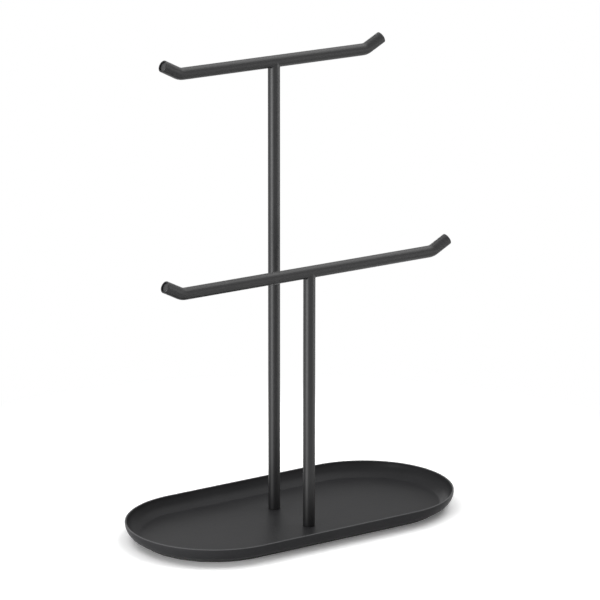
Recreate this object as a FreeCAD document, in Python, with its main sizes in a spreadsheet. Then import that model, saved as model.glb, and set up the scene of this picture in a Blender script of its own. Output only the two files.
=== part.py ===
import FreeCAD, Part
import Sketcher
import math
import os

# Stand for necklaces and rings. An oval dished tray of pressed sheet steel carries two round
# tube posts, and each post carries a crossbar with upturned tips, so the stand makes two "T"s:
# the taller one behind (+Y), the shorter and wider one in front (-Y).
#
# Frame: millimetres, +Z up, X along the tray and the bars. The origin is the centre of the
# footprint, on the surface that the stand rests on.
#
# How it goes together, from below: anti-slip pad, countersunk screws, tray, posts with a
# threaded insert pressed into each foot, bars welded onto the coped post tops, tip plugs.

# --- driving dimensions: alias, value, meaning ------------------------------------------------
SIZES = [
    ("tray_length", 240.0, "tray over the rim, along X"),
    ("tray_width", 120.0, "tray over the rim, along Y; the ends are half circles"),
    ("wall_height", 10.6, "tray underside to the top of the rim"),
    ("wall_lean", 2.0, "degrees that the wall leans outwards just under the rim"),
    ("bowl_radius", 7.8, "inside radius that turns the wall in under the rim"),
    ("skirt_slope", 24.0, "degrees that the wall still rises where it leaves the floor"),
    ("crease_radius", 1.5, "inside radius between the floor and that slope"),
    ("flat_margin", 10.4, "edge of the rim in to the edge of the flat underside, in plan"),
    ("sheet_thickness", 1.2, "pressed steel of the tray"),
    ("rim_round", 0.5, "rounding on both edges of the rim"),
    ("pad_thickness", 1.6, "anti-slip sheet under the tray"),
    ("pad_margin", 0.4, "from the edge of the flat underside in to the pad"),
    ("window_diameter", 12.0, "hole in the pad that leaves a screw head free"),
    ("tube_diameter", 8.0, "outside of posts and bars"),
    ("tube_wall", 1.0, "wall of that tube"),
    ("post_spacing", 42.0, "between the axes of the two posts"),
    ("upper_axis_height", 309.8, "axis of the upper bar above the table"),
    ("lower_axis_height", 177.1, "axis of the lower bar above the table"),
    ("upper_bend_span", 144.4, "between the corners of the upper bar's bends"),
    ("lower_bend_span", 195.4, "between the corners of the lower bar's bends"),
    ("tip_length", 14.6, "corner of a bend to the end of the tip, along the axis"),
    ("tip_angle", 27.5, "degrees that a tip turns up"),
    ("bend_radius", 9.0, "axis of the tube in a bend"),
    ("mouth_round", 0.6, "rounding on the outer edge of an open tube end"),
    ("weld_gap", 0.05, "bar to the saddle cut in the post's top"),
    ("plug_length", 4.0, "tip plug along its axis"),
    ("plug_recess", 0.9, "tube end to the face of its plug"),
    ("plug_gap", 0.05, "plug to the bore of the tube, on the radius"),
    ("plug_chamfer", 0.3, "front edge of the plug"),
    ("insert_length", 12.0, "threaded insert in the foot of a post"),
    ("insert_gap", 0.02, "insert to the bore of the tube, on the radius"),
    ("screw_diameter", 4.0, "shank of the foot screws"),
    ("screw_length", 10.0, "foot screw over all, head included"),
    ("head_diameter", 7.5, "countersunk head, a 90 degree cone"),
    ("head_land", 0.1, "straight edge of the head before the cone"),
    ("socket_width", 2.5, "hexagon socket across its flats"),
    ("socket_depth", 1.3, "depth of that socket"),
    ("screw_chamfer", 0.5, "end of the shank"),
    ("seat_gap", 0.05, "screw head to the countersinks in tray and insert"),
    ("thread_gap", 0.05, "shank to the plain holes that stand for threads, on the radius"),
]

doc = FreeCAD.newDocument("jewellery_stand")
sizes = doc.addObject("Spreadsheet::Sheet", "Sizes")
for row, (alias, number, meaning) in enumerate(SIZES, start=1):
    sizes.set(f"A{row}", meaning)
    sizes.set(f"B{row}", str(number))
    sizes.setAlias(f"B{row}", alias)
doc.recompute()

# --- heights and radii that several pieces share, as expressions on the sheet -----------------
FLOOR = "(Sizes.pad_thickness + Sizes.sheet_thickness)"
TUBE_RADIUS = "(Sizes.tube_diameter / 2)"
BORE_RADIUS = "(Sizes.tube_diameter / 2 - Sizes.tube_wall)"
CENTRE_SPAN = "(Sizes.tray_length - Sizes.tray_width)"
FLAT_HALF_WIDTH = "(Sizes.tray_width / 2 - Sizes.flat_margin)"
# length that a bend takes off the straight runs on each side of its corner
BEND_SETBACK = "(Sizes.bend_radius * tan(Sizes.tip_angle / 2))"
# radius of the countersink, a cone at 45 degrees, where it opens at the tray's underside
SEAT_RADIUS = "(Sizes.head_diameter / 2 + Sizes.head_land + Sizes.seat_gap)"


def value(expression):
    """Number that an expression on the sheet has now."""
    return float(sizes.evalExpression(expression))


# --- helpers for bodies and sketches ----------------------------------------------------------
def new_body(name, x="0", y="0", z="0"):
    """Empty body named after its node, with its place bound to expressions."""
    body = doc.addObject("PartDesign::Body", name)
    body.Label = name
    for axis, expression in (("x", x), ("y", y), ("z", z)):
        body.setExpression(f".Placement.Base.{axis}", expression)
    return body


def new_sketch(body, role, name, lift=None):
    """Sketch on one of the body's own origin planes, lifted off it by an expression."""
    plane = next(item for item in body.Origin.OriginFeatures if item.Role == role)
    sketch = body.newObject("Sketcher::SketchObject", name)
    sketch.AttachmentSupport = [(plane, "")]
    sketch.MapMode = "FlatFace"
    if lift:
        sketch.setExpression(".AttachmentOffset.Base.z", lift)
    return sketch


def constrain(sketch, expression, *constraint):
    """Add a constraint whose size follows an expression."""
    index = sketch.addConstraint(Sketcher.Constraint(*constraint, value(expression)))
    sketch.setExpression(f"Constraints[{index}]", expression)


def constrain_angle(sketch, expression, *constraint):
    """Add an angle that follows an expression in degrees."""
    radians = math.radians(value(expression))
    index = sketch.addConstraint(Sketcher.Constraint("Angle", *constraint, radians))
    sketch.setExpression(f"Constraints[{index}]", f"({expression}) * 1 deg")


def arc_between(centre, radius, start, end):
    """Arc round a centre, from one angle to another in degrees."""
    circle = Part.Circle(centre, FreeCAD.Vector(0, 0, 1), radius)
    return Part.ArcOfCircle(circle, math.radians(start), math.radians(end))


def add_circle(sketch, radius, x="0", y="0"):
    """Circle at a place measured from the sketch's origin."""
    centre = FreeCAD.Vector(value(x), value(y), 0)
    circle = sketch.addGeometry(Part.Circle(centre, FreeCAD.Vector(0, 0, 1), value(radius)))
    constrain(sketch, radius, "Radius", circle)
    place_point(sketch, circle, 3, x, y)


def place_point(sketch, geometry, point, x, y):
    """Tie a point of the sketch to the origin by two distances, or to an axis where one is 0."""
    for direction, axis, expression in (("DistanceX", -2, x), ("DistanceY", -1, y)):
        number = value(expression)
        if number == 0:
            sketch.addConstraint(Sketcher.Constraint("PointOnObject", geometry, point, axis))
        elif number > 0:
            constrain(sketch, expression, direction, -1, 1, geometry, point)
        else:
            constrain(sketch, f"-({expression})", direction, geometry, point, -1, 1)


def add_polygon(sketch, corners):
    """Closed outline through corners that are pairs of expressions."""
    points = [FreeCAD.Vector(value(x), value(y), 0) for x, y in corners]
    lines = [sketch.addGeometry(Part.LineSegment(start, end))
             for start, end in zip(points, points[1:] + points[:1])]
    for line, after in zip(lines, lines[1:] + lines[:1]):
        sketch.addConstraint(Sketcher.Constraint("Coincident", line, 2, after, 1))
    for line, (x, y) in zip(lines, corners):
        place_point(sketch, line, 1, x, y)


def add_stadium(sketch, half_width):
    """Two half circles round the tray's end centres, joined by straight sides along X."""
    radius = value(half_width)
    reach = value(CENTRE_SPAN) / 2
    right = sketch.addGeometry(arc_between(FreeCAD.Vector(reach, 0, 0), radius, -90, 90))
    left = sketch.addGeometry(arc_between(FreeCAD.Vector(-reach, 0, 0), radius, 90, 270))
    back = sketch.addGeometry(Part.LineSegment(
        FreeCAD.Vector(reach, radius, 0), FreeCAD.Vector(-reach, radius, 0)))
    front = sketch.addGeometry(Part.LineSegment(
        FreeCAD.Vector(-reach, -radius, 0), FreeCAD.Vector(reach, -radius, 0)))
    for first, second in ((right, back), (back, left), (left, front), (front, right)):
        sketch.addConstraint(Sketcher.Constraint("Tangent", first, 2, second, 1))
    sketch.addConstraint(Sketcher.Constraint("Horizontal", back))
    sketch.addConstraint(Sketcher.Constraint("PointOnObject", right, 3, -1))
    sketch.addConstraint(Sketcher.Constraint("Symmetric", left, 3, right, 3, -1, 1))
    constrain(sketch, CENTRE_SPAN, "DistanceX", left, 3, right, 3)
    constrain(sketch, half_width, "Radius", right)


def new_feature(body, kind, name, **settings):
    """PartDesign feature with plain settings; those given as expressions are bound."""
    feature = body.newObject(f"PartDesign::{kind}", name)
    for key, setting in settings.items():
        if isinstance(setting, str) and key not in ("HoleCutType", "DepthType"):
            feature.setExpression(key, setting)
        else:
            setattr(feature, key, setting)
    doc.recompute()
    return feature


def names_where(shape_list, kind, test):
    """Sub-element names, such as Edge3, of the items that pass a test."""
    return [f"{kind}{number}" for number, item in enumerate(shape_list, start=1) if test(item)]


def is_circle(edge, radius, height=None):
    """True for a circular edge of this radius, at this height if one is given."""
    curve = edge.Curve
    if not isinstance(curve, Part.Circle) or abs(curve.Radius - radius) > 1e-4:
        return False
    return height is None or abs(curve.Center.z - height) < 1e-4


def mirrored(body, name, original, role):
    """Mirror a feature in one of the body's origin planes and make the result its tip."""
    plane = next(item for item in body.Origin.OriginFeatures if item.Role == role)
    copy = new_feature(body, "Mirrored", name, Originals=[original], MirrorPlane=(plane, [""]))
    body.Tip = copy
    doc.recompute()
    return copy


def revolved(body, name, corners):
    """Solid of revolution round the body's Z axis, from corners given as (radius, height)."""
    profile = new_sketch(body, "XZ_Plane", f"{name}_profile")
    add_polygon(profile, corners)
    return new_feature(body, "Revolution", name, Profile=profile,
                       ReferenceAxis=(profile, ["V_Axis"]), Angle=360.0)


# --- tray and pad -----------------------------------------------------------------------------
def sheet_profile(offset):
    """Floor, crease, slope, bowl and wall of the tray as loose geometry, from the axis outwards.

    The offset is 0 for the underside and the sheet's thickness for the inside. The two creases
    share a centre, and so do the two bowl arcs, so the sheet keeps its thickness.
    """
    slope, lean = value("Sizes.skirt_slope"), value("Sizes.wall_lean")
    crease = value("Sizes.crease_radius + Sizes.sheet_thickness") - offset
    bowl = value("Sizes.bowl_radius + Sizes.sheet_thickness") - offset
    height = value("Sizes.wall_height")
    crease_centre = FreeCAD.Vector(value(FLAT_HALF_WIDTH), crease + offset, 0)

    def towards(degrees, length):
        radians = math.radians(degrees)
        return FreeCAD.Vector(length * math.cos(radians), length * math.sin(radians), 0)

    rim = FreeCAD.Vector(value("Sizes.tray_width / 2"), height, 0)
    rim -= FreeCAD.Vector(offset / math.cos(math.radians(lean)), 0, 0)
    crease_end = crease_centre + towards(slope - 90, crease)
    bowl_turn = towards(-lean, bowl) - towards(slope - 90, bowl)
    gap = rim - crease_end - bowl_turn
    wall_way, slope_way = towards(90 - lean, 1), towards(slope, 1)
    scale = slope_way.x * wall_way.y - slope_way.y * wall_way.x
    slope_length = (gap.x * wall_way.y - gap.y * wall_way.x) / scale
    bowl_start = crease_end + slope_way * slope_length
    bowl_centre = bowl_start - towards(slope - 90, bowl)
    axis_point = FreeCAD.Vector(0, offset, 0)
    return [
        Part.LineSegment(axis_point, crease_centre - FreeCAD.Vector(0, crease, 0)),
        arc_between(crease_centre, crease, -90, slope - 90),
        Part.LineSegment(crease_end, bowl_start),
        arc_between(bowl_centre, bowl, slope - 90, -lean),
        Part.LineSegment(bowl_centre + towards(-lean, bowl), rim),
    ]


def add_sheet_section(sketch):
    """Half section of the tray: its outside, its inside, and the edges that join them."""
    sheet = value("Sizes.sheet_thickness")
    outside = [sketch.addGeometry(item) for item in sheet_profile(0)]
    inside = [sketch.addGeometry(item) for item in sheet_profile(sheet)]
    for floor, crease, slope, bowl, wall in (outside, inside):
        sketch.addConstraint([
            Sketcher.Constraint("Horizontal", floor),
            Sketcher.Constraint("Tangent", floor, 2, crease, 1),
            Sketcher.Constraint("Tangent", crease, 2, slope, 1),
            Sketcher.Constraint("Tangent", slope, 2, bowl, 1),
            Sketcher.Constraint("Tangent", bowl, 2, wall, 1),
        ])
    ends = [sketch.Geometry[lines[-1]].EndPoint for lines in (outside, inside)]
    rim = sketch.addGeometry(Part.LineSegment(ends[0], ends[1]))
    axis = sketch.addGeometry(Part.LineSegment(
        sketch.Geometry[inside[0]].StartPoint, sketch.Geometry[outside[0]].StartPoint))
    sketch.addConstraint([
        Sketcher.Constraint("Coincident", outside[0], 1, -1, 1),
        Sketcher.Constraint("Coincident", outside[-1], 2, rim, 1),
        Sketcher.Constraint("Coincident", rim, 2, inside[-1], 2),
        Sketcher.Constraint("Coincident", inside[0], 1, axis, 1),
        Sketcher.Constraint("Coincident", axis, 2, outside[0], 1),
        Sketcher.Constraint("Horizontal", rim),
        Sketcher.Constraint("Vertical", axis),
        Sketcher.Constraint("Coincident", inside[1], 3, outside[1], 3),
        Sketcher.Constraint("Coincident", inside[3], 3, outside[3], 3),
        Sketcher.Constraint("Parallel", inside[2], outside[2]),
        Sketcher.Constraint("Parallel", inside[4], outside[4]),
    ])
    constrain(sketch, "Sizes.sheet_thickness", "DistanceY", axis, 2, axis, 1)
    constrain(sketch, FLAT_HALF_WIDTH, "DistanceX", outside[0], 1, outside[0], 2)
    constrain(sketch, "Sizes.crease_radius", "Radius", inside[1])
    constrain(sketch, "Sizes.bowl_radius", "Radius", inside[3])
    constrain(sketch, "Sizes.wall_height", "DistanceY", -1, 1, rim, 1)
    constrain(sketch, "Sizes.tray_width / 2", "DistanceX", -1, 1, rim, 1)
    constrain_angle(sketch, "Sizes.skirt_slope", -1, 1, outside[2], 1)
    constrain_angle(sketch, "90 - Sizes.wall_lean", -1, 1, outside[4], 1)


def make_tray():
    """Dished tray: the section is drawn along the sides and turned round the ends."""
    body = new_body("tray", z="Sizes.pad_thickness")
    section = new_sketch(body, "YZ_Plane", "sheet_section", lift=f"{CENTRE_SPAN} / 2")
    add_sheet_section(section)
    end = new_feature(body, "Revolution", "round_end", Profile=section, Reversed=True,
                      ReferenceAxis=(section, ["V_Axis"]), Angle=180.0)
    mirrored(body, "other_end", end, "YZ_Plane")
    front = new_feature(body, "Pad", "straight_side", Profile=section, Reversed=True,
                        Length=CENTRE_SPAN)
    whole = mirrored(body, "other_side", front, "XZ_Plane")
    top = value("Sizes.wall_height")
    rim_edges = names_where(whole.Shape.Edges, "Edge",
                            lambda edge: edge.BoundBox.ZMin > top - 1e-4)
    new_feature(body, "Fillet", "rounded_rim", Base=(whole, rim_edges),
                Radius="Sizes.rim_round")
    holes = new_sketch(body, "XY_Plane", "screw_places")
    for side in ("", "-"):
        add_circle(holes, "Sizes.screw_diameter / 2 + Sizes.thread_gap",
                   y=f"{side}Sizes.post_spacing / 2")
    new_feature(body, "Hole", "countersunk_holes", Profile=holes, Reversed=True,
                DepthType="ThroughAll", Diameter="Sizes.screw_diameter + 2 * Sizes.thread_gap",
                HoleCutType="Countersink", HoleCutDiameter=f"2 * {SEAT_RADIUS}",
                HoleCutCountersinkAngle=90.0)
    return body


def make_base_pad():
    """Anti-slip sheet on the flat underside, with a window under each screw."""
    body = new_body("base_pad")
    outline = new_sketch(body, "XY_Plane", "pad_outline")
    add_stadium(outline, f"{FLAT_HALF_WIDTH} - Sizes.pad_margin")
    for side in ("", "-"):
        add_circle(outline, "Sizes.window_diameter / 2", y=f"{side}Sizes.post_spacing / 2")
    new_feature(body, "Pad", "pad_sheet", Profile=outline, Length="Sizes.pad_thickness")
    return body


# --- one "T": post with its insert and screw, bar with its plugs ------------------------------
def make_post(name, side, axis_height):
    """Tube that stands on the tray floor, its top cut to a saddle for the bar."""
    body = new_body(name, y=f"{side}Sizes.post_spacing / 2", z=FLOOR)
    to_axis = f"(Sizes.{axis_height} - {FLOOR})"
    section = new_sketch(body, "XY_Plane", "tube_section")
    add_circle(section, TUBE_RADIUS)
    add_circle(section, BORE_RADIUS)
    tube = new_feature(body, "Pad", "tube", Profile=section, Length=to_axis)
    saddle = new_sketch(body, "YZ_Plane", "saddle_outline")
    add_circle(saddle, f"{TUBE_RADIUS} + Sizes.weld_gap", y=to_axis)
    new_feature(body, "Pocket", "saddle", Profile=saddle, Midplane=True,
                Length="2 * Sizes.tube_diameter")
    if body.Shape.Volume >= tube.Shape.Volume:
        raise RuntimeError(f"{name}: the saddle cuts nothing")
    return body


def make_insert(name, side):
    """Threaded insert pressed into the foot of a post, countersunk for the screw's head."""
    body = new_body(name, y=f"{side}Sizes.post_spacing / 2", z=FLOOR)
    hole = "(Sizes.screw_diameter / 2 + Sizes.thread_gap)"
    outside = f"({BORE_RADIUS} - Sizes.insert_gap)"
    mouth = f"({SEAT_RADIUS} - Sizes.sheet_thickness)"
    revolved(body, "threaded_bush", [
        (mouth, "0"),
        (outside, "0"),
        (outside, "Sizes.insert_length"),
        (hole, "Sizes.insert_length"),
        (hole, f"{mouth} - {hole}"),
    ])
    return body


def make_screw(name, side):
    """Countersunk screw with a hexagon socket, flush with the underside of the tray."""
    body = new_body(name, y=f"{side}Sizes.post_spacing / 2", z="Sizes.pad_thickness")
    head = "(Sizes.head_diameter / 2)"
    shank = "(Sizes.screw_diameter / 2)"
    blank = revolved(body, "head_and_shank", [
        ("0", "0"),
        (head, "0"),
        (head, "Sizes.head_land"),
        (shank, f"Sizes.head_land + {head} - {shank}"),
        (shank, "Sizes.screw_length - Sizes.screw_chamfer"),
        (f"{shank} - Sizes.screw_chamfer", "Sizes.screw_length"),
        ("0", "Sizes.screw_length"),
    ])
    flat = "(Sizes.socket_width / 2)"
    corner = "(Sizes.socket_width / sqrt(3))"
    socket = new_sketch(body, "XY_Plane", "socket_outline")
    add_polygon(socket, [
        (corner, "0"),
        (f"{corner} / 2", flat),
        (f"-{corner} / 2", flat),
        (f"-{corner}", "0"),
        (f"-{corner} / 2", f"-{flat}"),
        (f"{corner} / 2", f"-{flat}"),
    ])
    new_feature(body, "Pocket", "hex_socket", Profile=socket, Reversed=True,
                Length="Sizes.socket_depth")
    if body.Shape.Volume >= blank.Shape.Volume:
        raise RuntimeError(f"{name}: the socket cuts nothing")
    return body


def make_bar(name, side, axis_height, bend_span):
    """Tube along X whose two tips turn up: one half is swept, then mirrored."""
    body = new_body(name, y=f"{side}Sizes.post_spacing / 2", z=f"Sizes.{axis_height}")
    straight = f"(Sizes.{bend_span} / 2 - {BEND_SETBACK})"
    path = new_sketch(body, "XZ_Plane", "half_path")
    tip_straight = f"(Sizes.tip_length - {BEND_SETBACK})"
    run, bend, turn = value(straight), value("Sizes.bend_radius"), value("Sizes.tip_angle")
    line = path.addGeometry(Part.LineSegment(FreeCAD.Vector(0, 0, 0), FreeCAD.Vector(run, 0, 0)))
    arc = path.addGeometry(arc_between(FreeCAD.Vector(run, bend, 0), bend, -90, turn - 90))
    start = path.Geometry[arc].EndPoint
    along = FreeCAD.Rotation(FreeCAD.Vector(0, 0, 1), turn).multVec(
        FreeCAD.Vector(value(tip_straight), 0, 0))
    tip_line = path.addGeometry(Part.LineSegment(start, start + along))
    path.addConstraint([
        Sketcher.Constraint("Coincident", line, 1, -1, 1),
        Sketcher.Constraint("Horizontal", line),
        Sketcher.Constraint("Tangent", line, 2, arc, 1),
        Sketcher.Constraint("Tangent", arc, 2, tip_line, 1),
    ])
    constrain(path, straight, "DistanceX", line, 1, line, 2)
    constrain(path, "Sizes.bend_radius", "Radius", arc)
    constrain(path, tip_straight, "Distance", tip_line)
    constrain_angle(path, "Sizes.tip_angle", -1, 1, tip_line, 1)
    section = new_sketch(body, "YZ_Plane", "tube_section")
    add_circle(section, TUBE_RADIUS)
    add_circle(section, BORE_RADIUS)
    half = new_feature(body, "AdditivePipe", "half_bar", Profile=section,
                       Spine=(path, ["Edge1", "Edge2", "Edge3"]))
    whole = mirrored(body, "other_half", half, "YZ_Plane")
    tube_radius = value(TUBE_RADIUS)
    reach = whole.Shape.BoundBox.XMax - value("Sizes.tube_diameter")
    mouths = names_where(whole.Shape.Edges, "Edge", lambda edge: is_circle(edge, tube_radius)
                         and abs(edge.Curve.Center.x) > reach)
    new_feature(body, "Fillet", "rounded_mouths", Base=(whole, mouths),
                Radius="Sizes.mouth_round")
    return body


def make_plug(name, side, hand, axis_height, bend_span):
    """Plug in the mouth of a tip; hand is 1 for the tip at +X and -1 for the one at -X."""
    reach = "Sizes.tip_length - Sizes.plug_recess"
    body = new_body(
        name,
        x=f"{hand} * (Sizes.{bend_span} / 2 + ({reach}) * cos(Sizes.tip_angle))",
        y=f"{side}Sizes.post_spacing / 2",
        z=f"Sizes.{axis_height} + ({reach}) * sin(Sizes.tip_angle)",
    )
    body.Placement.Rotation = FreeCAD.Rotation(FreeCAD.Vector(0, hand, 0), 45)
    body.setExpression(".Placement.Rotation.Angle", "90 - Sizes.tip_angle")
    section = new_sketch(body, "XY_Plane", "plug_section")
    radius = f"({BORE_RADIUS} - Sizes.plug_gap)"
    add_circle(section, radius)
    disc = new_feature(body, "Pad", "disc", Profile=section, Reversed=True,
                       Length="Sizes.plug_length")
    front = names_where(disc.Shape.Edges, "Edge",
                        lambda edge: is_circle(edge, value(radius), height=0))
    new_feature(body, "Chamfer", "front_edge", Base=(disc, front), Size="Sizes.plug_chamfer")
    return body


parts = [make_tray(), make_base_pad()]
for post_name, bar_name, side, axis_height, bend_span in (
    ("tall_post", "upper_bar", "", "upper_axis_height", "upper_bend_span"),
    ("short_post", "lower_bar", "-", "lower_axis_height", "lower_bend_span"),
):
    parts.append(make_post(post_name, side, axis_height))
    parts.append(make_insert(f"{post_name}_insert", side))
    parts.append(make_screw(f"{post_name}_screw", side))
    parts.append(make_bar(bar_name, side, axis_height, bend_span))
    for end, hand in (("left", -1), ("right", 1)):
        parts.append(make_plug(f"{bar_name}_{end}_plug", side, hand, axis_height, bend_span))

# --- check every object, then write one STEP file per piece -----------------------------------
doc.recompute()
for item in doc.Objects:
    if "Invalid" in item.State or "Error" in item.State:
        raise RuntimeError(f"{item.Label} failed: {item.State}")
for sketch in doc.findObjects("Sketcher::SketchObject"):
    if not sketch.FullyConstrained:
        raise RuntimeError(f"{sketch.Label} is not fully constrained")
for body in parts:
    if body.Shape.isNull() or not body.Shape.isValid() or len(body.Shape.Solids) != 1:
        raise RuntimeError(f"{body.Label} is not one valid solid")

os.makedirs("parts", exist_ok=True)
for body in parts:
    box = body.Shape.optimalBoundingBox()
    print(f"{body.Label:24s} volume {body.Shape.Volume:9.1f}  "
          f"x {box.XMin:7.2f} {box.XMax:7.2f}  y {box.YMin:7.2f} {box.YMax:7.2f}  "
          f"z {box.ZMin:7.2f} {box.ZMax:7.2f}")
    body.Shape.exportStep(f"parts/{body.Label}.step")
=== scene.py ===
# %% [markdown]
# # Dressing a jewellery stand
#
# The stand is an oval dished tray with two round posts, and each post carries a crossbar whose
# tips turn up so that necklaces can't slide off. Rings and brooches lie in the tray.
# Everything that shows is steel under a matt black powder coat, apart from small black plugs
# in the open tube ends and an anti-slip sheet under the tray.
#
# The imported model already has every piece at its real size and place. This lesson gives it
# its looks: finer surfaces for the coated pieces, one material for each finish, a pale floor,
# soft light and a camera.

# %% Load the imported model
import math

import bmesh
import bpy
import numpy as np
from mathutils import Matrix, Vector


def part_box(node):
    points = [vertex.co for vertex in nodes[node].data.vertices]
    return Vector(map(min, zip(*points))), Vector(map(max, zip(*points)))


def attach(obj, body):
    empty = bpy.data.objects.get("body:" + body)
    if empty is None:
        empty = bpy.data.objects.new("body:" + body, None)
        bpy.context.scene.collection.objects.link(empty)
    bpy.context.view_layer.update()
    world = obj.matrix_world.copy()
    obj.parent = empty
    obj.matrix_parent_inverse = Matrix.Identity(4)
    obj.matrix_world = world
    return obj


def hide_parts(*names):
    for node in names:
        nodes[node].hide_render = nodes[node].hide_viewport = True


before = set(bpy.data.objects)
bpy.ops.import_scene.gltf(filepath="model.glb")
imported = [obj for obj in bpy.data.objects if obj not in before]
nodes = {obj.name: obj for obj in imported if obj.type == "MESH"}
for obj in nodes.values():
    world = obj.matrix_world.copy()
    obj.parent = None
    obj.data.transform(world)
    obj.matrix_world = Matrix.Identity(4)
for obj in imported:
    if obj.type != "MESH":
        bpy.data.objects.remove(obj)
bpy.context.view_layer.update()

# %% [markdown]
# ## Sizes
#
# Blender works in metres and the maker's drawing in millimetres, so a length is written in
# millimetres and multiplied by `MM` once, when its mesh is made.
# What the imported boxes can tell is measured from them, so the new surfaces follow the model.
# Only the shape of a cross-section has to be written down.

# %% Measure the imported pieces
MM = 0.001


def box_mm(node):
    """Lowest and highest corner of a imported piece, in millimetres."""
    return [np.array(corner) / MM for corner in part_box(node)]


tray_low, tray_high = box_mm("tray")
RIM_RADIUS = tray_high[1]                   # centre line of the tray to the outside of its rim
REACH = tray_high[0] - RIM_RADIUS           # middle of the tray to the centre of a round end
UNDERSIDE, RIM_TOP = tray_low[2], tray_high[2]
SHEET = box_mm("tall_post")[0][2] - UNDERSIDE
TUBE = (box_mm("tall_post")[1][0] - box_mm("tall_post")[0][0]) / 2
POST_Y = {name: float(np.mean([corner[1] for corner in box_mm(name)]))
          for name in ("tall_post", "short_post")}
print(f"rim {2 * tray_high[0]:.1f} x {2 * RIM_RADIUS:.1f} mm, sheet {SHEET:.2f} mm, "
      f"tube {2 * TUBE:.2f} mm, posts at y {POST_Y}")

# %% [markdown]
# ## From a grid of numbers to a mesh
#
# Pressed, bent and turned parts are all *a section carried along a path*: every point depends
# on two numbers, one that says where on the path it is and one that says where on the section.
# So a whole piece is a grid of points, worked out with numpy as one array, and the faces are
# the quads between neighbours. This gives even, clean quads, and a smooth highlight needs
# nothing more than enough rows.

# %% Directions and quads
def directions(degrees):
    """Unit vectors (cos a, sin a) for angles in degrees, as an array of pairs."""
    radians = np.radians(degrees)
    return np.stack([np.cos(radians), np.sin(radians)], axis=-1)


def full_turn(count):
    """Directions of this many points spread evenly round a circle."""
    return directions(np.arange(count) * 360 / count)


def grid_faces(rows, columns, close_rows, start=0):
    """Quads between neighbours of a grid whose point (i, j) has number start + i * columns + j.

    The columns go round the piece and always close. The rows close where the section does.
    """
    i, j = np.meshgrid(np.arange(rows if close_rows else rows - 1), np.arange(columns),
                       indexing="ij")
    next_i, next_j = (i + 1) % rows, (j + 1) % columns
    corners = [i * columns + j, i * columns + next_j,
               next_i * columns + next_j, next_i * columns + j]
    return np.stack(corners, axis=-1).reshape(-1, 4) + start


print(f"a closed grid of 3 x 4 points has {len(grid_faces(3, 4, True))} quads, "
      f"an open one {len(grid_faces(3, 4, False))}")

# %% From points and quads to a piece
SHARP = 40                                  # degrees: an edge that bends more stays sharp


def new_piece(name, points, faces, slot, *nodes):
    """Mesh from points in millimetres and quads, shaded smooth. It rides on the stand's body
    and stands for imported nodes."""
    mesh = bpy.data.meshes.new(name)
    mesh.from_pydata((points * MM).tolist(), [], faces.tolist())
    close_and_turn_out(mesh)
    mesh.shade_smooth()
    mesh.set_sharp_from_angle(angle=math.radians(SHARP))
    piece = bpy.data.objects.new(name, mesh)
    bpy.context.scene.collection.objects.link(piece)
    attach(piece, "root")
    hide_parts(*nodes)
    print(f"{name}: {len(mesh.vertices)} points, {len(mesh.polygons)} faces")
    return piece


def close_and_turn_out(mesh):
    """Fill flat openings, one height at a time, and turn every face outwards.

    Heights are compared to the micrometre.
    """
    work = bmesh.new()
    work.from_mesh(mesh)
    open_edges = [edge for edge in work.edges if edge.is_boundary]
    heights = {round(edge.verts[0].co.z, 6) for edge in open_edges}
    for height in heights:
        level = [edge for edge in open_edges if round(edge.verts[0].co.z, 6) == height]
        bmesh.ops.triangle_fill(work, edges=level, use_beauty=True, normal=(0, 0, 1))
    bmesh.ops.recalc_face_normals(work, faces=work.faces)
    work.to_mesh(mesh)
    work.free()


# %% [markdown]
# ## The tray
#
# The real tray is one blank of sheet steel, pressed to an oval dish: a flat floor, a soft
# crease, a low slope that swings up through a round bowl into a nearly upright wall, and a
# rim whose two edges are broken by a small radius.
# It could be a box with bevels, but the dish has the *same* section all the way round. So the
# section is drawn once, outside and inside, and carried round a path of two half circles and
# two straight sides. The section's first rows lie flat on the floor, which keeps the crease's
# shading from bleeding into the middle. Here and below, the last number of a linspace says
# how many points that stretch gets, and tight arcs get the most for their length.

# %% Section of the sheet
CREASE, BOWL = 3.0, 7.8                     # inside radii of the two bends of the sheet
SLOPE, LEAN = 24.0, 2.0                     # degrees: the slope's rise, the wall's lean outwards
FLAT_MARGIN = 10.4                          # rim to the edge of the flat underside, in plan
RIM_ROUND = 0.5
FLAT_RIM = 4.0                              # flat floor that the section takes in


def section_side(offset):
    """One side of the sheet from the flat floor to the rim, as (radius, height) pairs.

    Both bends are arcs, centre + radius * (cos a, sin a). The two sides of the sheet share
    the arcs' centres and differ in radius by the sheet's thickness, so the offset, 0 outside
    and the thickness inside, shifts each point along the sheet's normal.
    """
    crease, bowl = CREASE + SHEET - offset, BOWL + SHEET - offset
    flat = RIM_RADIUS - FLAT_MARGIN
    crease_centre = np.array([flat, crease + offset])
    crease_arc = crease_centre + crease * directions(np.linspace(-90, SLOPE - 90, 10))
    wall_normal, slope_normal = directions(-LEAN), directions(SLOPE - 90)
    wall_way, slope_way = directions(90 - LEAN), directions(SLOPE)
    rim = np.array([RIM_RADIUS - offset / wall_normal[0], RIM_TOP - UNDERSIDE])
    # the slope is as long as it has to be for the bowl to end on the wall's line
    gap = rim - crease_arc[-1] - bowl * (wall_normal - slope_normal)
    length = np.linalg.solve(np.stack([slope_way, wall_way], axis=1), gap)[0]
    bowl_centre = crease_arc[-1] + slope_way * length - bowl * slope_normal
    bowl_arc = bowl_centre + bowl * directions(np.linspace(SLOPE - 90, -LEAN, 28))
    floor = np.linspace([flat - FLAT_RIM, offset], [flat, offset], 4)[:-1]
    slope = np.linspace(crease_arc[-1], bowl_arc[0], 8)[1:-1]
    return np.concatenate([floor, crease_arc, slope, bowl_arc])


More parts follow.
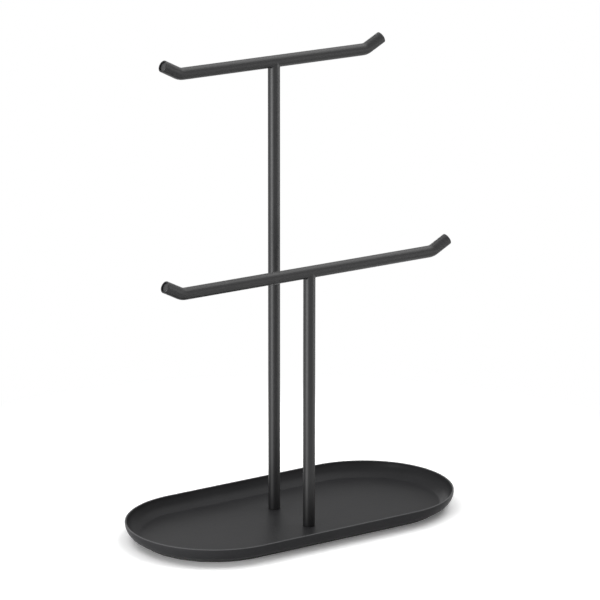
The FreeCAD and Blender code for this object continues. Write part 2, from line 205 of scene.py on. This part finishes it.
def rim_arc(offset, first, last):
    """Rounded edge of the rim: a quarter circle tangent to the wall's side and to the top."""
    inward = RIM_ROUND / math.cos(math.radians(LEAN)) * (1 if offset == 0 else -1)
    wall = RIM_RADIUS - offset / math.cos(math.radians(LEAN))
    drop = RIM_ROUND * math.tan(math.radians(LEAN))
    centre = np.array([wall - inward - drop, RIM_TOP - UNDERSIDE - RIM_ROUND])
    return centre + RIM_ROUND * directions(np.linspace(first, last, 9))


tray_section = np.concatenate([
    section_side(0.0), rim_arc(0.0, -LEAN, 90.0),
    rim_arc(SHEET, 90.0, 180.0 - LEAN), section_side(SHEET)[::-1],
])
print(f"section of {len(tray_section)} points, widest {tray_section[:, 0].max():.2f} mm")

# %% [markdown]
# ### Carrying the section round
#
# A point of the tray is the path's centre plus the section's radius along the path's outward
# direction. On the straight sides the centre moves and the direction stands still, and on the
# round ends it's the other way round, so one formula serves the whole oval.
# Two cones are let into the floor for the countersunk screws, and the flats are then filled
# between the section's inner ring and the cones.

# %% Tray
def oval_path(per_end, per_side):
    """Centres and outward directions of a closed oval: each end turns the direction through
    180 degrees about one centre, and each side slides the centre along X."""
    turn = np.linspace(-90, 90, per_end)
    slide = np.linspace(REACH, -REACH, per_side + 2)[1:-1]
    x = np.concatenate([np.full(per_end, REACH), slide, np.full(per_end, -REACH), -slide])
    angle = np.concatenate([turn, np.full(per_side, 90), turn + 180, np.full(per_side, 270)])
    return np.stack([x, np.zeros_like(x)], axis=1), directions(angle)


def carried_round(section, centres, outwards, lift):
    """Grid of points (centre + radius * outward, height + lift): a row per section point."""
    flat = centres[None] + section[:, None, :1] * outwards[None]
    height = np.broadcast_to(section[:, 1:, None] + lift, (*flat.shape[:2], 1))
    return np.concatenate([flat, height], axis=2)


SEAT = 3.9                                  # radius of the countersink at the underside
centres, outwards = oval_path(per_end=120, per_side=30)
grids = [carried_round(tray_section, centres, outwards, UNDERSIDE)]
seat_section = np.array([[SEAT, 0.0], [SEAT - SHEET, SHEET]])
seat_ring = full_turn(48)
for y in POST_Y.values():
    seat_centre = np.broadcast_to([0.0, y], seat_ring.shape)
    grids.append(carried_round(seat_section, seat_centre, seat_ring, UNDERSIDE))
counts = [grid.shape[0] * grid.shape[1] for grid in grids]
starts = np.cumsum([0, *counts[:-1]])
tray = new_piece(
    "tray_shell",
    np.concatenate([grid.reshape(-1, 3) for grid in grids]),
    np.concatenate([grid_faces(*grid.shape[:2], False, start)
                    for grid, start in zip(grids, starts)]),
    "black_powder_coat", "tray",
)

# %% [markdown]
# ## The crossbars
#
# Each bar is a length of tube, bent up near both ends on a small former, with its cut ends
# deburred so that they don't catch a chain.
# A curve object with a round bevel would do for the outside, but not for the open mouths,
# where one looks past a rounded lip into the bore. So the section here is the tube's *wall*:
# a closed loop that runs along the outside, turns in over the lip and comes back inside.
# It is carried along the bar's centre line and turned round it.

# %% Centre line of a bar
TIP_ANGLE, BEND, TIP = 27.5, 9.0, 14.6      # degrees, axis radius, corner of the bend to the end
BEND_SPAN = {"upper_bar": 144.4, "lower_bar": 195.4}
WALL = 1.0
BORE = TUBE - WALL
LIP, BURR = 0.6, 0.15                       # rounding outside and inside of a cut end
AROUND = 96                                 # points round a tube


def bar_line(distance, span):
    """Centre line of a bar at a distance from its middle, and the line's rise in radians.

    The line runs straight to the bend, then round an arc of radius BEND, then straight at the
    tip's angle: x = run + BEND * sin(rise) and z = BEND * (1 - cos(rise)) on the arc.
    The left half is the mirror image of the right one.
    """
    turn = math.radians(TIP_ANGLE)
    run = span / 2 - BEND * math.tan(turn / 2)
    way = np.abs(distance)
    rise = np.clip((way - run) / BEND, 0, turn)
    beyond = np.maximum(way - run - BEND * turn, 0)
    x = np.minimum(way, run) + BEND * np.sin(rise) + beyond * math.cos(turn)
    z = BEND * (1 - np.cos(rise)) + beyond * math.sin(turn)
    return np.sign(distance) * x, z, np.sign(distance) * rise


def wall_loop(half):
    """Closed section of the tube's wall as (distance along the line, radius from it).

    The distances go by a sine, so that the rows gather near the ends, where the bends are.
    """
    outer = np.array([half - LIP, TUBE - LIP]) + LIP * directions(np.linspace(90, 0, 9))
    inner = np.array([half - BURR, BORE + BURR]) + BURR * directions(np.linspace(0, -90, 4))
    lip = np.concatenate([outer, inner])
    along = (half - LIP) * np.sin(np.linspace(-1, 1, 161)[1:-1] * math.pi / 2)
    outside = np.stack([along, np.full_like(along, TUBE)], axis=1)
    inside = np.stack([-along[::2], np.full_like(along[::2], BORE)], axis=1)
    return np.concatenate([outside, lip, inside, lip[::-1] * [-1, 1]])


def make_bar(name, y):
    """Tube round the bent line: line + radius * (cos a * across + sin a * sideways), where
    across is square to the line in its own plane."""
    span = BEND_SPAN[name]
    axis_height = box_mm(name)[0][2] + TUBE
    turn = math.radians(TIP_ANGLE)
    half = span / 2 - 2 * BEND * math.tan(turn / 2) + BEND * turn + TIP
    loop = wall_loop(half)
    x, z, rise = [part[:, None] for part in bar_line(loop[:, 0], span)]
    radius = loop[:, 1:]
    around = full_turn(AROUND)
    cos_a, sin_a = around[None, :, 0], around[None, :, 1]
    grid = np.stack([
        x - radius * cos_a * np.sin(rise),
        y + radius * sin_a,
        axis_height + z + radius * cos_a * np.cos(rise),
    ], axis=-1)
    faces = grid_faces(*grid.shape[:2], True)
    return new_piece(f"{name}_tube", grid.reshape(-1, 3), faces, "black_powder_coat", name)


upper_bar = make_bar("upper_bar", POST_Y["tall_post"])
lower_bar = make_bar("lower_bar", POST_Y["short_post"])

# %% [markdown]
# ## The posts
#
# A post is a tube of the same size, standing on the floor of the tray. Its top is coped: cut
# to a saddle that fits the round of the bar, and welded there. The weld is ground back, and
# the coat bridges what is left of the corner with a small fillet, which is why the two tubes
# seem to grow out of each other.
# The cope is a formula of the angle round the post, so the grid's rows simply end on it, and
# a last band of rows curls from the post on to the bar as a Bezier curve.

# %% Post with a coped top and a rounded foot
FILLET = 0.7                                # reach of the fillet on the post and on the bar
FOOT_ROUND = 0.35
CLEAR = 0.05                                # bar to the saddle


def make_post(name, bar):
    """Wall of the post as a grid: up the outside, over the fillet, down the bore.

    With the angle a round the post and the bar's radius R, the saddle stands at
    z = -sqrt(R * R - (r * sin a) ** 2) from the bar's axis. The fillet's rows are
    (1-t)^2 * A + 2 t (1-t) * P + t^2 * B, from A on the post over the corner P to B, which
    lies on the bar, as far from P along the bar and round it as A is down the post.
    """
    foot = box_mm(name)[0][2]
    axis = box_mm(bar)[0][2] + TUBE
    seat = TUBE + CLEAR
    around = full_turn(AROUND)
    cos_a, sin_a = around[:, 0], around[:, 1]

    def ring(radius, height):
        return np.stack([radius * cos_a, radius * sin_a, np.broadcast_to(height, cos_a.shape)],
                        axis=-1)

    def saddle(radius):
        return axis - np.sqrt(seat ** 2 - (radius * sin_a) ** 2)

    corner = ring(TUBE, saddle(TUBE))
    on_post = ring(TUBE, saddle(TUBE) - FILLET)
    climb = np.arcsin(TUBE * sin_a / seat) + FILLET / TUBE * sin_a
    on_bar = np.stack([(TUBE + FILLET) * cos_a, (TUBE - CLEAR) * np.sin(climb),
                       axis - (TUBE - CLEAR) * np.cos(climb)], axis=-1)
    t = np.linspace(0, 1, 9)[:, None, None]
    fillet = (1 - t) ** 2 * on_post + 2 * t * (1 - t) * corner + t ** 2 * on_bar
    rounding = (np.array([TUBE - FOOT_ROUND, foot + FOOT_ROUND])
                + FOOT_ROUND * directions(np.linspace(-90, 0, 7)))
    foot_rows = np.stack([ring(radius, height) for radius, height in rounding])
    way_up = np.linspace(0, 1, 24)[1:-1, None, None]
    wall = foot_rows[-1] + way_up * (on_post - foot_rows[-1])
    bore_top, bore_foot = ring(BORE, saddle(BORE)), ring(BORE, foot)
    bore = np.linspace(1, 0, 24)[:, None, None] * (bore_top - bore_foot) + bore_foot
    grid = np.concatenate([foot_rows, wall, fillet, bore])
    grid[..., 1] += POST_Y[name]
    faces = grid_faces(*grid.shape[:2], True)
    return new_piece(f"{name}_tube", grid.reshape(-1, 3), faces, "black_powder_coat", name)


tall_post = make_post("tall_post", "upper_bar")
short_post = make_post("short_post", "lower_bar")

# %% [markdown]
# ## Materials
#
# A material is a small tree of nodes that ends in a shader. One function adds a node: plain
# settings become its properties, numbers and colours fill its sockets, and a socket of another
# node is linked. Colours are written as the hex values that a paint card would give, and made
# linear by one function, because light adds up in linear numbers.
# Patterns read Object coordinates, which on these pieces are real metres, so a grain of half
# a millimetre is a noise of 2000 cells per metre.

# %% Colours, nodes and scales
def linear(hex_colour):
    """Linear RGBA of an sRGB hex colour."""
    channels = np.array([int(hex_colour[i:i + 2], 16) for i in (1, 3, 5)]) / 255
    light = np.where(channels <= 0.04045, channels / 12.92, ((channels + 0.055) / 1.055) ** 2.4)
    return (*light.tolist(), 1.0)


def add_node(tree, kind, inputs=None, **settings):
    """Add a node, set its properties, and fill or link its inputs."""
    node = tree.nodes.new(kind)
    for name, setting in settings.items():
        setattr(node, name, setting)
    for socket, source in (inputs or {}).items():
        if isinstance(source, bpy.types.NodeSocket):
            tree.links.new(source, node.inputs[socket])
        else:
            node.inputs[socket].default_value = source
    return node


def per_metre(millimetres):
    """Noise scale whose features are this far apart on a piece measured in metres."""
    return 1 / (millimetres * MM)


print(f"paint card grey #808080 returns {linear('#808080')[0]:.3f} of the light")


# %% Helpers for materials
def new_material(name):
    """Empty material, its tree, and a socket with the piece's own coordinates."""
    material = bpy.data.materials.new(name)
    material.use_nodes = True
    material.node_tree.nodes.clear()
    place = add_node(material.node_tree, "ShaderNodeTexCoord").outputs["Object"]
    return material, material.node_tree, place


def finish_material(tree, **shader):
    """Principled shader with these sockets, on its way to the output."""
    inputs = {name.replace("_", " "): source for name, source in shader.items()}
    principled = add_node(tree, "ShaderNodeBsdfPrincipled", inputs)
    add_node(tree, "ShaderNodeOutputMaterial", {"Surface": principled.outputs["BSDF"]})


def dress(material, *objects):
    """Give each object this material as its only one."""
    for item in objects:
        item.data.materials.clear()
        item.data.materials.append(material)
    print(f"{material.name} on {', '.join(item.name for item in objects)}")


# %% [markdown]
# ### Powder coat
#
# Polyester powder is sprayed dry on to the degreased steel and baked. It flows into a film of
# 60 to 80 micrometres that is matt, nearly black, and never quite level: a fine grain from
# the powder itself rides on a softer orange peel.
# To the eye that means broad satin highlights with slightly restless edges, and a black that
# turns charcoal wherever it faces the light.
# Two such coats are made here. The tubes get a satin one. The tray gets a dry and dull one:
# hardly any of it is level enough to mirror, so the tray's floor stays black when it is seen
# at a low angle, where a smoother coat would show the pale room. The tray's coat is the same
# powder, but its colour is painted paler than the tubes': painted sheen, filling in the light
# that its dull coat doesn't mirror. Powder that melts draws back from sharp edges, but the
# paler band on the tray's rim is a painted highlight: the colour turns paler where the
# rounded edge turns up.

# %% Black powder coats
# grey of the painted highlight along the tray's rim
RIM_HIGHLIGHT_GREY = "#4B4B4C"
GLOSS_SWING = 0.03                          # roughness more and less than the coat's own
NOISE_LOW, NOISE_HIGH = 0.3, 0.7            # nearly all of a noise lies between these


def make_powder_coat(name, dark, pale, roughness, specular, highlight_above=1.0):
    """Fine grain over orange peel, in height, and a little of the same in gloss and colour.

    A painted highlight turns the colour paler as the surface turns up from 6 to 30 degrees,
    whose sines are 0.1 and 0.5. That holds above a height in metres, and where none is given
    it's above the stand.
    """
    material, tree, place = new_material(name)
    # the real grain is 0.2 mm, finer than a pixel shows, so it is drawn at 0.7 mm
    grain = add_node(tree, "ShaderNodeTexNoise",
                     {"Vector": place, "Scale": per_metre(0.7), "Detail": 3.0,
                      "Roughness": 0.6}).outputs["Fac"]
    peel = add_node(tree, "ShaderNodeTexNoise",
                    {"Vector": place, "Scale": per_metre(3.0), "Detail": 1.0}).outputs["Fac"]
    cloud = add_node(tree, "ShaderNodeTexNoise",
                     {"Vector": place, "Scale": per_metre(25.0), "Detail": 2.0}).outputs["Fac"]
    mixed = add_node(tree, "ShaderNodeMix", {"Factor": 0.5, "A": grain, "B": cloud},
                     data_type="FLOAT").outputs["Result"]
    colour = add_node(tree, "ShaderNodeValToRGB", {"Fac": mixed})
    colour.color_ramp.elements[0].position = NOISE_LOW
    colour.color_ramp.elements[0].color = linear(dark)
    colour.color_ramp.elements[1].position = NOISE_HIGH
    colour.color_ramp.elements[1].color = linear(pale)
    # painted highlight: the colour turns paler where the surface turns up, above a given height
    facing = add_node(tree, "ShaderNodeTexCoord").outputs["Normal"]
    up = add_node(tree, "ShaderNodeSeparateXYZ", {"Vector": facing}).outputs["Z"]
    height = add_node(tree, "ShaderNodeSeparateXYZ", {"Vector": place}).outputs["Z"]
    on_edge = add_node(tree, "ShaderNodeMath", {0: height, 1: highlight_above},
                       operation="GREATER_THAN").outputs["Value"]
    rim_highlight = add_node(tree, "ShaderNodeMapRange",
                    {"Value": up, "From Min": 0.1, "From Max": 0.5,
                     "To Max": on_edge}).outputs["Result"]
    coat_and_highlight = add_node(tree, "ShaderNodeMix",
                    {"Factor": rim_highlight, 6: colour.outputs["Color"], 7: linear(RIM_HIGHLIGHT_GREY)},
                    data_type="RGBA").outputs[2]
    gloss = add_node(tree, "ShaderNodeMapRange",
                     {"Value": mixed, "From Min": NOISE_LOW, "From Max": NOISE_HIGH,
                      "To Min": roughness - GLOSS_SWING,
                      "To Max": roughness + GLOSS_SWING}).outputs["Result"]
    wave = add_node(tree, "ShaderNodeBump",
                    {"Height": peel, "Strength": 0.5, "Distance": 0.06 * MM}).outputs["Normal"]
    bump = add_node(tree, "ShaderNodeBump",
                    {"Height": grain, "Strength": 0.5, "Distance": 0.03 * MM,
                     "Normal": wave}).outputs["Normal"]
    finish_material(tree, Base_Color=coat_and_highlight, Roughness=gloss, Normal=bump,
                    IOR=1.5, Specular_IOR_Level=specular)
    return material


RIM_HIGHLIGHT_DEPTH = 0.6                              # how far down from the rim's top the painted highlight reaches
dress(make_powder_coat("powder_coat_satin_black", "#0F0F10", "#141415",
                       roughness=0.45, specular=0.37),
      upper_bar, lower_bar, tall_post, short_post)
# the tray's coat is the tubes' powder painted paler: painted sheen, filling in the light that its
# dull gloss doesn't mirror
dress(make_powder_coat("powder_coat_matt_black", "#242425", "#2A2A2B",
                       roughness=0.40, specular=0.037,
                       highlight_above=(RIM_TOP - RIM_HIGHLIGHT_DEPTH) * MM), tray)

# %% [markdown]
# ### Moulded plug, rubber and plated steel
#
# The plugs are injection moulded in black polyethylene: slightly waxy, smoother than the coat
# around them. The anti-slip sheet is foamed rubber, which swallows light and shows its pores.
# Screws and inserts are zinc plated, a thin bright layer that clouds in patches.

# %% Plug, pad and fastener materials
def make_plug_plastic():
    """Injection-moulded polyethylene: faint sink marks and an even, waxy gloss."""
    material, tree, place = new_material("polyethylene_moulded_black")
    flow = add_node(tree, "ShaderNodeTexNoise",
                    {"Vector": place, "Scale": per_metre(1.5), "Detail": 2.0}).outputs["Fac"]
    colour = add_node(tree, "ShaderNodeValToRGB", {"Fac": flow})
    colour.color_ramp.elements[0].color = linear("#1B1B1C")
    colour.color_ramp.elements[1].color = linear("#252526")
    gloss = add_node(tree, "ShaderNodeMapRange",
                     {"Value": flow, "To Min": 0.38, "To Max": 0.5}).outputs["Result"]
    bump = add_node(tree, "ShaderNodeBump",
                    {"Height": flow, "Strength": 0.3, "Distance": 0.05 * MM}).outputs["Normal"]
    finish_material(tree, Base_Color=colour.outputs["Color"], Roughness=gloss, Normal=bump,
                    IOR=1.51)
    return material


def make_pad_rubber():
    """Foamed rubber sheet: cells of half a millimetre, drawn as pits, with painted shade that
    darkens each pit towards its bottom.
    """
    material, tree, place = new_material("rubber_foamed_charcoal")
    cells = add_node(tree, "ShaderNodeTexVoronoi",
                     {"Vector": place, "Scale": per_metre(0.8)}).outputs["Distance"]
    # painted shade: the colour is darkest at the bottom of each pit
    colour = add_node(tree, "ShaderNodeValToRGB", {"Fac": cells})
    colour.color_ramp.elements[0].color = linear("#0F0F0F")
    colour.color_ramp.elements[1].color = linear("#1E1E1E")
    bump = add_node(tree, "ShaderNodeBump",
                    {"Height": cells, "Strength": 0.7, "Distance": 0.15 * MM}).outputs["Normal"]
    finish_material(tree, Base_Color=colour.outputs["Color"], Roughness=0.85, Normal=bump,
                    IOR=1.5)
    return material


def make_zinc_plate():
    """Cold-headed steel under bright zinc: patches of duller plate and a fine drag grain."""
    material, tree, place = new_material("steel_zinc_plated")
    patch = add_node(tree, "ShaderNodeTexNoise",
                     {"Vector": place, "Scale": per_metre(1.2), "Detail": 4.0}).outputs["Fac"]
    colour = add_node(tree, "ShaderNodeValToRGB", {"Fac": patch})
    colour.color_ramp.elements[0].color = linear("#A9ACB0")
    colour.color_ramp.elements[1].color = linear("#C9CCD0")
    gloss = add_node(tree, "ShaderNodeMapRange",
                     {"Value": patch, "To Min": 0.22, "To Max": 0.42}).outputs["Result"]
    bump = add_node(tree, "ShaderNodeBump",
                    {"Height": patch, "Strength": 0.3, "Distance": 0.02 * MM}).outputs["Normal"]
    finish_material(tree, Base_Color=colour.outputs["Color"], Roughness=gloss, Normal=bump,
                    Metallic=1.0)
    return material


dress(make_plug_plastic(), *[item for name, item in nodes.items() if name.endswith("plug")])
dress(make_pad_rubber(), nodes["base_pad"])
dress(make_zinc_plate(),
      *[item for name, item in nodes.items() if name.endswith(("screw", "insert"))])

# %% [markdown]
# ## The camera
#
# The camera stands well back with a long lens, a little above the stand and to its left, so
# that the bars hardly taper. Its place is worked out from where it looks: a target, a
# direction in degrees and a distance.

# %% Camera
YAW, PITCH, ROLL = (math.radians(degrees) for degrees in (33.62, 15.62, 0.07))
DISTANCE, LENS = 2.40062, 218.88            # metres, and millimetres on a 36 mm sensor
SIDE_STEP, TARGET_HEIGHT = 0.00554, 0.15337


def make_camera():
    """Camera whose axes are the columns of its matrix: right, up, and backwards."""
    forward = Vector((math.sin(YAW) * math.cos(PITCH), math.cos(YAW) * math.cos(PITCH),
                      -math.sin(PITCH)))
    level = Vector((math.cos(YAW), -math.sin(YAW), 0))
    upright = level.cross(forward)
    right = level * math.cos(ROLL) + upright * math.sin(ROLL)
    up = upright * math.cos(ROLL) - level * math.sin(ROLL)
    place = Vector((0, 0, TARGET_HEIGHT)) + right * SIDE_STEP - forward * DISTANCE
    data = bpy.data.cameras.new("camera")
    data.sensor_width, data.lens = 36.0, LENS
    data.clip_start, data.clip_end = 0.1, 50.0
    camera = bpy.data.objects.new("camera", data)
    camera.matrix_world = Matrix.Translation(place) @ Matrix(
        (right, up, -forward)).transposed().to_4x4()
    bpy.context.scene.collection.objects.link(camera)
    bpy.context.scene.camera = camera
    print(f"camera at {tuple(round(v, 3) for v in place)} m")


make_camera()

# %% [markdown]
# ## The table and the room
#
# The stand is shown on a seamless white table in a white room. A real table is pale grey until
# it is lit far too brightly, and that much light would wash out the black coat. So the table
# is pale where it lights the stand, and it is lifted until it reads white for the rays that
# look at it: straight from the camera, in a gloss or through glass. The shadow under the tray
# is kept, and further out the table glows an even white. The world is made the same way.
# From beneath the table is clear, so that the underside can be looked at. It also lets the
# rays pass that are on their way to a lamp, so it cuts off no lamp that reaches below it.

# %% Rays that look
def seen_rays(tree):
    """1 for the rays that look at the surroundings: straight, in a gloss or through glass."""
    rays = add_node(tree, "ShaderNodeLightPath").outputs
    total = rays["Is Camera Ray"]
    for kind in ("Is Glossy Ray", "Is Transmission Ray"):
        total = add_node(tree, "ShaderNodeMath", {0: total, 1: rays[kind]},
                         operation="MAXIMUM").outputs["Value"]
    return total


# %% Table
PALE, LIFTED = 0.65, 1.15                   # light that the table returns, really and as seen
HALF_TABLE = 0.36                           # metres from the middle to each side
FADE_START, FADE_END = 0.20, 0.34           # metres from the middle, where the glow takes over
UNDER = 0.2 * MM                            # the table lies this far under the pad


def make_table_white():
    """Matt white that is lifted for the rays that look, and clear from beneath."""
    material, tree, place = new_material("table_white")
    seen = seen_rays(tree)
    tone = add_node(tree, "ShaderNodeMapRange",
                    {"Value": seen, "To Min": PALE, "To Max": LIFTED})
    paper = add_node(tree, "ShaderNodeBsdfDiffuse", {"Color": tone.outputs["Result"]})
    glow = add_node(tree, "ShaderNodeEmission", {"Color": (1, 1, 1, 1), "Strength": 1.0})
    away = add_node(tree, "ShaderNodeVectorMath", {0: place}, operation="LENGTH").outputs["Value"]
    far = add_node(tree, "ShaderNodeMapRange",
                   {"Value": away, "From Min": FADE_START, "From Max": FADE_END},
                   interpolation_type="SMOOTHSTEP").outputs["Result"]
    lifted = add_node(tree, "ShaderNodeMath", {0: far, 1: seen},
                      operation="MULTIPLY").outputs["Value"]
    top = add_node(tree, "ShaderNodeMixShader",
                   {0: lifted, 1: paper.outputs["BSDF"], 2: glow.outputs["Emission"]})
    below = add_node(tree, "ShaderNodeNewGeometry").outputs["Backfacing"]
    towards_lamp = add_node(tree, "ShaderNodeLightPath").outputs["Is Shadow Ray"]
    through = add_node(tree, "ShaderNodeMath", {0: below, 1: towards_lamp},
                       operation="MAXIMUM").outputs["Value"]
    clear = add_node(tree, "ShaderNodeBsdfTransparent")
    shown = add_node(tree, "ShaderNodeMixShader",
                     {0: through, 1: top.outputs["Shader"], 2: clear.outputs["BSDF"]})
    add_node(tree, "ShaderNodeOutputMaterial", {"Surface": shown.outputs["Shader"]})
    return material


def add_floor():
    """Flat square table under the stand."""
    corners = np.array([[-1, -1], [1, -1], [1, 1], [-1, 1]]) * HALF_TABLE
    mesh = bpy.data.meshes.new("floor")
    mesh.from_pydata([(x, y, -UNDER) for x, y in corners.tolist()], [], [(0, 1, 2, 3)])
    floor = bpy.data.objects.new("floor", mesh)
    bpy.context.scene.collection.objects.link(floor)
    dress(make_table_white(), floor)


add_floor()


# %% World
def light_world(level):
    """Even light from all round, and pure white wherever one looks past the table."""
    world = bpy.data.worlds.new("studio")
    bpy.context.scene.world = world
    world.use_nodes = True
    tree = world.node_tree
    tree.nodes.clear()
    light = add_node(tree, "ShaderNodeBackground", {"Color": (1, 1, 1, 1), "Strength": level})
    white = add_node(tree, "ShaderNodeBackground", {"Color": (1, 1, 1, 1), "Strength": 1.0})
    shown = add_node(tree, "ShaderNodeMixShader",
                     {0: seen_rays(tree), 1: light.outputs[0], 2: white.outputs[0]})
    add_node(tree, "ShaderNodeOutputWorld", {"Surface": shown.outputs["Shader"]})
    print(f"{world.name}: light at {level} from all round")


light_world(level=0.38)

# %% [markdown]
# ## The lamps
#
# A black tube shows little but its highlights, so the lamps stand where the tubes mirror them
# as lines. The key is tall and broad, low on the left, and draws the long highlight on the
# left of each post. The one on the right draws a thin line along the posts' other edge. Two
# hang high, to the sides and a little behind: the right one draws the line along the top of
# the bars, and both light the dish. A weak one in front fills the tray's skirt, and a small
# one behind gives the tray's floor a faint sheen.
# The view is then set to show each colour as it is written, with no film curve.

# %% Lamps
LIT = Vector((0, 0, 0.15))                  # the lamps face this point, half way up the stand


def add_softbox(name, side, rise, distance, size, watts):
    """Rectangular softbox turned to the middle of the stand, unseen by the camera.

    It is placed from where the camera stands: degrees to the side of the camera (right of it
    is positive), degrees above the table, and metres away.
    """
    side, rise = math.radians(side) - YAW, math.radians(rise)
    away = Vector((math.sin(side) * math.cos(rise), -math.cos(side) * math.cos(rise),
                   math.sin(rise)))
    data = bpy.data.lights.new(name, "AREA")
    data.shape = "RECTANGLE"
    data.size, data.size_y = size
    data.energy = watts
    lamp = bpy.data.objects.new(name, data)
    lamp.location = LIT + away * distance
    lamp.rotation_euler = (-away).to_track_quat("-Z", "Y").to_euler()
    lamp.visible_camera = False
    bpy.context.scene.collection.objects.link(lamp)
    print(f"{name}: {watts} W at {tuple(round(v, 2) for v in lamp.location)} m")


add_softbox("key", side=-43, rise=0, distance=2.5, size=(1.2, 1.4), watts=90)
add_softbox("front", side=35, rise=12, distance=2.5, size=(1.0, 1.0), watts=8)
add_softbox("right", side=92, rise=-3, distance=2.5, size=(1.1, 1.3), watts=21)
add_softbox("top_right", side=128, rise=57, distance=2.0, size=(1.9, 1.3), watts=23)
add_softbox("top_left", side=-105, rise=62, distance=2.0, size=(1.6, 1.6), watts=17)
add_softbox("behind", side=-166, rise=13, distance=2.5, size=(0.5, 0.6), watts=3.5)

# %% Colours shown as they are
bpy.context.scene.view_settings.view_transform = "Standard"
print("view transform", bpy.context.scene.view_settings.view_transform)
